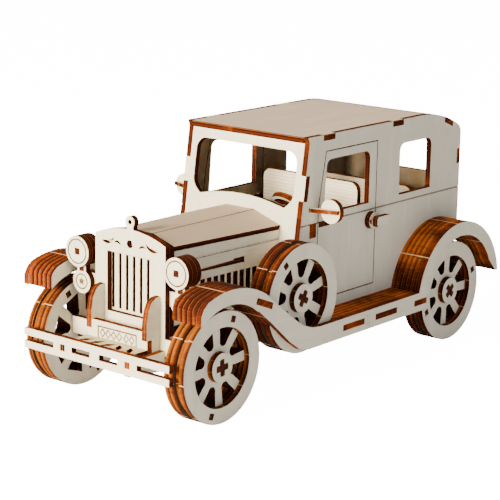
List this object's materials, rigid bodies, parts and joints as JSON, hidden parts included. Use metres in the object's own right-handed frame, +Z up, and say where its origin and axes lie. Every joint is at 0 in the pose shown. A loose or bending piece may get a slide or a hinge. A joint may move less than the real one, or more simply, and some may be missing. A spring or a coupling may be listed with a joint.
{
  "type": "wooden jigsaw model car",
  "caption": "Vintage limousine built as a press-fit model from laser-cut plywood, with turning wheels, opening doors and a spare wheel in the left fender.",
  "frame": {"origin": "on the ground under the middle of the front axle", "axes": "+X to the car's left, +Y to the car's rear, +Z up"},
  "size_m": [0.114, 0.2603, 0.1234],
  "materials": {
    "plywood": "raw sanded birch veneer",
    "ply_stack": "raw stacked plywood with singed edges",
    "burnt_edge": "laser-singed plywood edge"
  },
  "bodies": {
    "car_body": {"floor_plate": "plywood", "chassis_rails": "plywood", "chassis_crossmembers": "plywood", "bumper_irons": "plywood", "front_bumper": "plywood", "bumper_apron": "plywood", "number_plate": "plywood", "grille_frame": "plywood", "grille_bars": "plywood", "front_wing_plates": "plywood", "lamp_brackets": "plywood", "headlight_left": "plywood", "headlight_right": "plywood", "lamp_pins": "burnt_edge", "hood_top": "plywood", "hood_slope_left": "plywood", "hood_slope_right": "plywood", "hood_side_left": "plywood", "hood_side_right": "plywood", "hood_spears": "burnt_edge", "hood_formers": "plywood", "windshield_frame": "plywood", "dashboard": "plywood", "steering_column": "ply_stack", "front_seat_left": "plywood", "front_seat_right": "plywood", "rear_seat": "plywood", "side_panel_left": "plywood", "side_panel_right": "plywood", "roof_panel": "plywood", "back_panel": "plywood", "mirror_left": "plywood", "mirror_right": "plywood", "fender_front_left": "plywood", "fender_front_right": "plywood", "fender_rear_left": "plywood", "fender_rear_right": "plywood", "front_fender_plies_left": "ply_stack", "front_fender_plies_right": "ply_stack", "running_board_plies_left": "ply_stack", "running_board_plies_right": "ply_stack", "fender_ties": "burnt_edge", "spare_wheel": "plywood", "spare_spindle": "burnt_edge", "spare_wheel_pins": "burnt_edge"},
    "front_wheelset": {"front_axle": "plywood", "front_wheels": "plywood", "front_wheel_pins": "burnt_edge"},
    "rear_wheelset": {"rear_axle": "plywood", "rear_wheels": "plywood", "rear_wheel_pins": "burnt_edge"},
    "left_door": {"door_left": "plywood", "door_hinges_left": "burnt_edge", "handle_base_left": "plywood"},
    "right_door": {"door_right": "plywood", "door_hinges_right": "burnt_edge", "handle_base_right": "plywood"},
    "left_handle": {"door_handle_left": "plywood"},
    "right_handle": {"door_handle_right": "plywood"},
    "steering": {"steering_wheel": "ply_stack"}
  },
  "joints": [
    {"name": "front_axle_turn", "type": "hinge", "parent": "car_body", "child": "front_wheelset", "pos_m": [0, 0, 0.027], "axis": [1, 0, 0], "continuous": true},
    {"name": "rear_axle_turn", "type": "hinge", "parent": "car_body", "child": "rear_wheelset", "pos_m": [0, 0.19, 0.027], "axis": [1, 0, 0], "continuous": true},
    {"name": "left_door_swing", "type": "hinge", "parent": "car_body", "child": "left_door", "pos_m": [0.0375, 0.0925, 0.077], "axis": [0, 0, -1], "range_deg": [0, 70]},
    {"name": "right_door_swing", "type": "hinge", "parent": "car_body", "child": "right_door", "pos_m": [-0.0375, 0.0925, 0.077], "axis": [0, 0, 1], "range_deg": [0, 70]},
    {"name": "left_handle_turn", "type": "hinge", "parent": "left_door", "child": "left_handle", "pos_m": [0.0435, 0.1296, 0.0743], "axis": [1, 0, 0], "range_deg": [-90, 0]},
    {"name": "right_handle_turn", "type": "hinge", "parent": "right_door", "child": "right_handle", "pos_m": [-0.0435, 0.1296, 0.0743], "axis": [1, 0, 0], "range_deg": [-90, 0]},
    {"name": "steering_turn", "type": "hinge", "parent": "car_body", "child": "steering", "pos_m": [0.014, 0.093, 0.084], "axis": [0, 0.7071, 0.7071], "range_deg": [-180, 180]}
  ]
}
